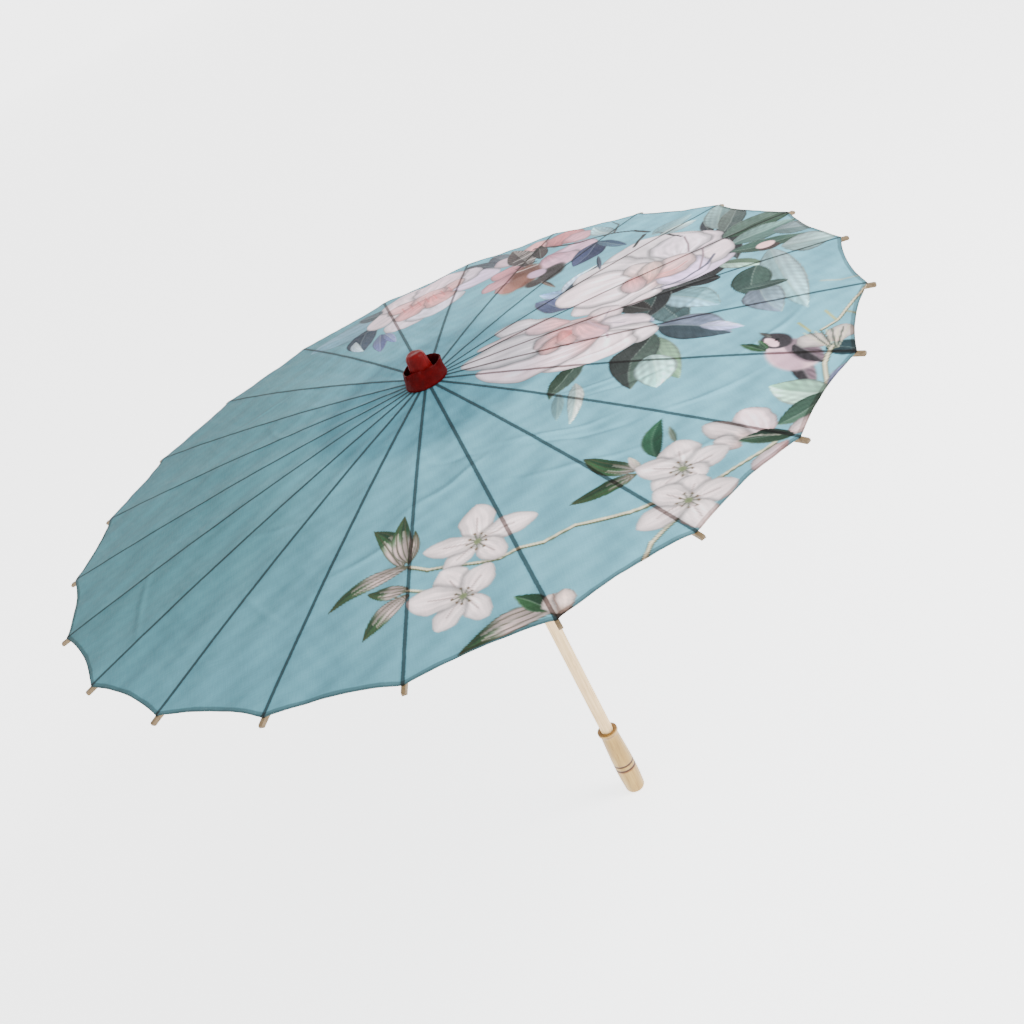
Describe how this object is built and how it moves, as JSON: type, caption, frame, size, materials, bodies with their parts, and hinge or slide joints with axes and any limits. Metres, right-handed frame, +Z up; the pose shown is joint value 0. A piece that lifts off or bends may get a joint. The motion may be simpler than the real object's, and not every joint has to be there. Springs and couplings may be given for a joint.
{
  "type": "oil paper umbrella",
  "caption": "Open parasol: printed cloth canopy on thin bamboo ribs that fold down round a straight wooden shaft with a turned handle and a red cap.",
  "frame": {"origin": "centre of the handle's flat end", "axes": "+Z up the shaft towards the cap; +X along rib_00"},
  "size_m": [0.82, 0.8122, 0.5883],
  "materials": {
    "bamboo": "split bamboo, satin",
    "pale_wood": "smooth pale wood, thin varnish",
    "turned_wood": "turned, varnished",
    "hub_wood": "turned, raw",
    "cloth": "printed teal cloth with flowers and birds",
    "red_vinyl": "glossy dark red vinyl",
    "thread": "twisted cotton",
    "spring_steel": "plain spring steel"
  },
  "bodies": {
    "root": {"shaft": "pale_wood", "handle": "turned_wood", "top_hub": "hub_wood", "hub_pin": "bamboo", "rib_thread": "thread", "canopy": "cloth", "cap_collar": "red_vinyl", "cap_knob": "red_vinyl", "stop_peg": "bamboo"},
    "runner": {"runner": "hub_wood", "stretcher_thread": "thread"},
    "catch": {"catch_spring": "spring_steel"},
    "rib_00": {"rib_00": "bamboo"},
    "stretcher_00": {"stretcher_00": "bamboo"},
    "rib_01": {"rib_01": "bamboo"},
    "stretcher_01": {"stretcher_01": "bamboo"},
    "rib_02": {"rib_02": "bamboo"},
    "stretcher_02": {"stretcher_02": "bamboo"},
    "rib_03": {"rib_03": "bamboo"},
    "stretcher_03": {"stretcher_03": "bamboo"},
    "rib_04": {"rib_04": "bamboo"},
    "stretcher_04": {"stretcher_04": "bamboo"},
    "rib_05": {"rib_05": "bamboo"},
    "stretcher_05": {"stretcher_05": "bamboo"},
    "rib_06": {"rib_06": "bamboo"},
    "stretcher_06": {"stretcher_06": "bamboo"},
    "rib_07": {"rib_07": "bamboo"},
    "stretcher_07": {"stretcher_07": "bamboo"},
    "rib_08": {"rib_08": "bamboo"},
    "stretcher_08": {"stretcher_08": "bamboo"},
    "rib_09": {"rib_09": "bamboo"},
    "stretcher_09": {"stretcher_09": "bamboo"},
    "rib_10": {"rib_10": "bamboo"},
    "stretcher_10": {"stretcher_10": "bamboo"},
    "rib_11": {"rib_11": "bamboo"},
    "stretcher_11": {"stretcher_11": "bamboo"},
    "rib_12": {"rib_12": "bamboo"},
    "stretcher_12": {"stretcher_12": "bamboo"},
    "rib_13": {"rib_13": "bamboo"},
    "stretcher_13": {"stretcher_13": "bamboo"},
    "rib_14": {"rib_14": "bamboo"},
    "stretcher_14": {"stretcher_14": "bamboo"},
    "rib_15": {"rib_15": "bamboo"},
    "stretcher_15": {"stretcher_15": "bamboo"},
    "rib_16": {"rib_16": "bamboo"},
    "stretcher_16": {"stretcher_16": "bamboo"},
    "rib_17": {"rib_17": "bamboo"},
    "stretcher_17": {"stretcher_17": "bamboo"},
    "rib_18": {"rib_18": "bamboo"},
    "stretcher_18": {"stretcher_18": "bamboo"},
    "rib_19": {"rib_19": "bamboo"},
    "stretcher_19": {"stretcher_19": "bamboo"},
    "rib_20": {"rib_20": "bamboo"},
    "stretcher_20": {"stretcher_20": "bamboo"},
    "rib_21": {"rib_21": "bamboo"},
    "stretcher_21": {"stretcher_21": "bamboo"}
  },
  "joints": [
    {"name": "fold", "type": "hinge", "parent": "root", "child": "rib_00", "pos_m": [0.0175, 0, 0.5542], "axis": [0, 1, 0], "range_deg": [0, 80.2], "deforming": ["canopy", "catch_spring"]},
    {"name": "stretcher_fold_00", "type": "hinge", "parent": "rib_00", "child": "stretcher_00", "pos_m": [0.1315, 0, 0.53866], "axis": [0, 1, 0], "range_deg": [-160.4, 0]},
    {"name": "rib_fold_01", "type": "hinge", "parent": "root", "child": "rib_01", "pos_m": [0.01679, 0.00493, 0.5542], "axis": [-0.2817, 0.9595, 0], "range_deg": [0, 80.2]},
    {"name": "stretcher_fold_01", "type": "hinge", "parent": "rib_01", "child": "stretcher_01", "pos_m": [0.12617, 0.03705, 0.53866], "axis": [-0.2817, 0.9595, 0], "range_deg": [-160.4, 0]},
    {"name": "rib_fold_02", "type": "hinge", "parent": "root", "child": "rib_02", "pos_m": [0.01472, 0.00946, 0.5542], "axis": [-0.5406, 0.8413, 0], "range_deg": [0, 80.2]},
    {"name": "stretcher_fold_02", "type": "hinge", "parent": "rib_02", "child": "stretcher_02", "pos_m": [0.11063, 0.07109, 0.53866], "axis": [-0.5406, 0.8413, 0], "range_deg": [-160.4, 0]},
    {"name": "rib_fold_03", "type": "hinge", "parent": "root", "child": "rib_03", "pos_m": [0.01146, 0.01323, 0.5542], "axis": [-0.7557, 0.6549, 0], "range_deg": [0, 80.2]},
    {"name": "stretcher_fold_03", "type": "hinge", "parent": "rib_03", "child": "stretcher_03", "pos_m": [0.08611, 0.09938, 0.53866], "axis": [-0.7557, 0.6549, 0], "range_deg": [-160.4, 0]},
    {"name": "rib_fold_04", "type": "hinge", "parent": "root", "child": "rib_04", "pos_m": [0.00727, 0.01592, 0.5542], "axis": [-0.9096, 0.4154, 0], "range_deg": [0, 80.2]},
    {"name": "stretcher_fold_04", "type": "hinge", "parent": "rib_04", "child": "stretcher_04", "pos_m": [0.05463, 0.11962, 0.53866], "axis": [-0.9096, 0.4154, 0], "range_deg": [-160.4, 0]},
    {"name": "rib_fold_05", "type": "hinge", "parent": "root", "child": "rib_05", "pos_m": [0.00249, 0.01732, 0.5542], "axis": [-0.9898, 0.1423, 0], "range_deg": [0, 80.2]},
    {"name": "stretcher_fold_05", "type": "hinge", "parent": "rib_05", "child": "stretcher_05", "pos_m": [0.01871, 0.13016, 0.53866], "axis": [-0.9898, 0.1423, 0], "range_deg": [-160.4, 0]},
    {"name": "rib_fold_06", "type": "hinge", "parent": "root", "child": "rib_06", "pos_m": [-0.00249, 0.01732, 0.5542], "axis": [-0.9898, -0.1423, 0], "range_deg": [0, 80.2]},
    {"name": "stretcher_fold_06", "type": "hinge", "parent": "rib_06", "child": "stretcher_06", "pos_m": [-0.01871, 0.13016, 0.53866], "axis": [-0.9898, -0.1423, 0], "range_deg": [-160.4, 0]},
    {"name": "rib_fold_07", "type": "hinge", "parent": "root", "child": "rib_07", "pos_m": [-0.00727, 0.01592, 0.5542], "axis": [-0.9096, -0.4154, 0], "range_deg": [0, 80.2]},
    {"name": "stretcher_fold_07", "type": "hinge", "parent": "rib_07", "child": "stretcher_07", "pos_m": [-0.05463, 0.11962, 0.53866], "axis": [-0.9096, -0.4154, 0], "range_deg": [-160.4, 0]},
    {"name": "rib_fold_08", "type": "hinge", "parent": "root", "child": "rib_08", "pos_m": [-0.01146, 0.01323, 0.5542], "axis": [-0.7557, -0.6549, 0], "range_deg": [0, 80.2]},
    {"name": "stretcher_fold_08", "type": "hinge", "parent": "rib_08", "child": "stretcher_08", "pos_m": [-0.08611, 0.09938, 0.53866], "axis": [-0.7557, -0.6549, 0], "range_deg": [-160.4, 0]},
    {"name": "rib_fold_09", "type": "hinge", "parent": "root", "child": "rib_09", "pos_m": [-0.01472, 0.00946, 0.5542], "axis": [-0.5406, -0.8413, 0], "range_deg": [0, 80.2]},
    {"name": "stretcher_fold_09", "type": "hinge", "parent": "rib_09", "child": "stretcher_09", "pos_m": [-0.11063, 0.07109, 0.53866], "axis": [-0.5406, -0.8413, 0], "range_deg": [-160.4, 0]},
    {"name": "rib_fold_10", "type": "hinge", "parent": "root", "child": "rib_10", "pos_m": [-0.01679, 0.00493, 0.5542], "axis": [-0.2817, -0.9595, 0], "range_deg": [0, 80.2]},
    {"name": "stretcher_fold_10", "type": "hinge", "parent": "rib_10", "child": "stretcher_10", "pos_m": [-0.12617, 0.03705, 0.53866], "axis": [-0.2817, -0.9595, 0], "range_deg": [-160.4, 0]},
    {"name": "rib_fold_11", "type": "hinge", "parent": "root", "child": "rib_11", "pos_m": [-0.0175, 0, 0.5542], "axis": [0, -1, 0], "range_deg": [0, 80.2]},
    {"name": "stretcher_fold_11", "type": "hinge", "parent": "rib_11", "child": "stretcher_11", "pos_m": [-0.1315, 0, 0.53866], "axis": [0, -1, 0], "range_deg": [-160.4, 0]},
    {"name": "rib_fold_12", "type": "hinge", "parent": "root", "child": "rib_12", "pos_m": [-0.01679, -0.00493, 0.5542], "axis": [0.2817, -0.9595, 0], "range_deg": [0, 80.2]},
    {"name": "stretcher_fold_12", "type": "hinge", "parent": "rib_12", "child": "stretcher_12", "pos_m": [-0.12617, -0.03705, 0.53866], "axis": [0.2817, -0.9595, 0], "range_deg": [-160.4, 0]},
    {"name": "rib_fold_13", "type": "hinge", "parent": "root", "child": "rib_13", "pos_m": [-0.01472, -0.00946, 0.5542], "axis": [0.5406, -0.8413, 0], "range_deg": [0, 80.2]},
    {"name": "stretcher_fold_13", "type": "hinge", "parent": "rib_13", "child": "stretcher_13", "pos_m": [-0.11063, -0.07109, 0.53866], "axis": [0.5406, -0.8413, 0], "range_deg": [-160.4, 0]},
    {"name": "rib_fold_14", "type": "hinge", "parent": "root", "child": "rib_14", "pos_m": [-0.01146, -0.01323, 0.5542], "axis": [0.7557, -0.6549, 0], "range_deg": [0, 80.2]},
    {"name": "stretcher_fold_14", "type": "hinge", "parent": "rib_14", "child": "stretcher_14", "pos_m": [-0.08611, -0.09938, 0.53866], "axis": [0.7557, -0.6549, 0], "range_deg": [-160.4, 0]},
    {"name": "rib_fold_15", "type": "hinge", "parent": "root", "child": "rib_15", "pos_m": [-0.00727, -0.01592, 0.5542], "axis": [0.9096, -0.4154, 0], "range_deg": [0, 80.2]},
    {"name": "stretcher_fold_15", "type": "hinge", "parent": "rib_15", "child": "stretcher_15", "pos_m": [-0.05463, -0.11962, 0.53866], "axis": [0.9096, -0.4154, 0], "range_deg": [-160.4, 0]},
    {"name": "rib_fold_16", "type": "hinge", "parent": "root", "child": "rib_16", "pos_m": [-0.00249, -0.01732, 0.5542], "axis": [0.9898, -0.1423, 0], "range_deg": [0, 80.2]},
    {"name": "stretcher_fold_16", "type": "hinge", "parent": "rib_16", "child": "stretcher_16", "pos_m": [-0.01871, -0.13016, 0.53866], "axis": [0.9898, -0.1423, 0], "range_deg": [-160.4, 0]},
    {"name": "rib_fold_17", "type": "hinge", "parent": "root", "child": "rib_17", "pos_m": [0.00249, -0.01732, 0.5542], "axis": [0.9898, 0.1423, 0], "range_deg": [0, 80.2]},
    {"name": "stretcher_fold_17", "type": "hinge", "parent": "rib_17", "child": "stretcher_17", "pos_m": [0.01871, -0.13016, 0.53866], "axis": [0.9898, 0.1423, 0], "range_deg": [-160.4, 0]},
    {"name": "rib_fold_18", "type": "hinge", "parent": "root", "child": "rib_18", "pos_m": [0.00727, -0.01592, 0.5542], "axis": [0.9096, 0.4154, 0], "range_deg": [0, 80.2]},
    {"name": "stretcher_fold_18", "type": "hinge", "parent": "rib_18", "child": "stretcher_18", "pos_m": [0.05463, -0.11962, 0.53866], "axis": [0.9096, 0.4154, 0], "range_deg": [-160.4, 0]},
    {"name": "rib_fold_19", "type": "hinge", "parent": "root", "child": "rib_19", "pos_m": [0.01146, -0.01323, 0.5542], "axis": [0.7557, 0.6549, 0], "range_deg": [0, 80.2]},
    {"name": "stretcher_fold_19", "type": "hinge", "parent": "rib_19", "child": "stretcher_19", "pos_m": [0.08611, -0.09938, 0.53866], "axis": [0.7557, 0.6549, 0], "range_deg": [-160.4, 0]},
    {"name": "rib_fold_20", "type": "hinge", "parent": "root", "child": "rib_20", "pos_m": [0.01472, -0.00946, 0.5542], "axis": [0.5406, 0.8413, 0], "range_deg": [0, 80.2]},
    {"name": "stretcher_fold_20", "type": "hinge", "parent": "rib_20", "child": "stretcher_20", "pos_m": [0.11063, -0.07109, 0.53866], "axis": [0.5406, 0.8413, 0], "range_deg": [-160.4, 0]},
    {"name": "rib_fold_21", "type": "hinge", "parent": "root", "child": "rib_21", "pos_m": [0.01679, -0.00493, 0.5542], "axis": [0.2817, 0.9595, 0], "range_deg": [0, 80.2]},
    {"name": "stretcher_fold_21", "type": "hinge", "parent": "rib_21", "child": "stretcher_21", "pos_m": [0.12617, -0.03705, 0.53866], "axis": [0.2817, 0.9595, 0], "range_deg": [-160.4, 0]},
    {"name": "runner_foot", "type": "hinge", "parent": "stretcher_00", "child": "runner", "pos_m": [0.0175, 0, 0.52311], "axis": [0, 1, 0], "range_deg": [0, 80.2]},
    {"name": "catch_press", "type": "hinge", "parent": "root", "child": "catch", "pos_m": [0, 0, 0.43856], "axis": [0, -1, 0], "range_deg": [0, 4.4], "stiffness_Nm_per_rad": 2}
  ],
  "couplings": [
    {"joint": "stretcher_fold_00", "follows": "fold", "ratio": -2},
    {"joint": "rib_fold_01", "follows": "fold", "ratio": 1},
    {"joint": "stretcher_fold_01", "follows": "fold", "ratio": -2},
    {"joint": "rib_fold_02", "follows": "fold", "ratio": 1},
    {"joint": "stretcher_fold_02", "follows": "fold", "ratio": -2},
    {"joint": "rib_fold_03", "follows": "fold", "ratio": 1},
    {"joint": "stretcher_fold_03", "follows": "fold", "ratio": -2},
    {"joint": "rib_fold_04", "follows": "fold", "ratio": 1},
    {"joint": "stretcher_fold_04", "follows": "fold", "ratio": -2},
    {"joint": "rib_fold_05", "follows": "fold", "ratio": 1},
    {"joint": "stretcher_fold_05", "follows": "fold", "ratio": -2},
    {"joint": "rib_fold_06", "follows": "fold", "ratio": 1},
    {"joint": "stretcher_fold_06", "follows": "fold", "ratio": -2},
    {"joint": "rib_fold_07", "follows": "fold", "ratio": 1},
    {"joint": "stretcher_fold_07", "follows": "fold", "ratio": -2},
    {"joint": "rib_fold_08", "follows": "fold", "ratio": 1},
    {"joint": "stretcher_fold_08", "follows": "fold", "ratio": -2},
    {"joint": "rib_fold_09", "follows": "fold", "ratio": 1},
    {"joint": "stretcher_fold_09", "follows": "fold", "ratio": -2},
    {"joint": "rib_fold_10", "follows": "fold", "ratio": 1},
    {"joint": "stretcher_fold_10", "follows": "fold", "ratio": -2},
    {"joint": "rib_fold_11", "follows": "fold", "ratio": 1},
    {"joint": "stretcher_fold_11", "follows": "fold", "ratio": -2},
    {"joint": "rib_fold_12", "follows": "fold", "ratio": 1},
    {"joint": "stretcher_fold_12", "follows": "fold", "ratio": -2},
    {"joint": "rib_fold_13", "follows": "fold", "ratio": 1},
    {"joint": "stretcher_fold_13", "follows": "fold", "ratio": -2},
    {"joint": "rib_fold_14", "follows": "fold", "ratio": 1},
    {"joint": "stretcher_fold_14", "follows": "fold", "ratio": -2},
    {"joint": "rib_fold_15", "follows": "fold", "ratio": 1},
    {"joint": "stretcher_fold_15", "follows": "fold", "ratio": -2},
    {"joint": "rib_fold_16", "follows": "fold", "ratio": 1},
    {"joint": "stretcher_fold_16", "follows": "fold", "ratio": -2},
    {"joint": "rib_fold_17", "follows": "fold", "ratio": 1},
    {"joint": "stretcher_fold_17", "follows": "fold", "ratio": -2},
    {"joint": "rib_fold_18", "follows": "fold", "ratio": 1},
    {"joint": "stretcher_fold_18", "follows": "fold", "ratio": -2},
    {"joint": "rib_fold_19", "follows": "fold", "ratio": 1},
    {"joint": "stretcher_fold_19", "follows": "fold", "ratio": -2},
    {"joint": "rib_fold_20", "follows": "fold", "ratio": 1},
    {"joint": "stretcher_fold_20", "follows": "fold", "ratio": -2},
    {"joint": "rib_fold_21", "follows": "fold", "ratio": 1},
    {"joint": "stretcher_fold_21", "follows": "fold", "ratio": -2},
    {"joint": "runner_foot", "follows": "fold", "ratio": 1}
  ]
}
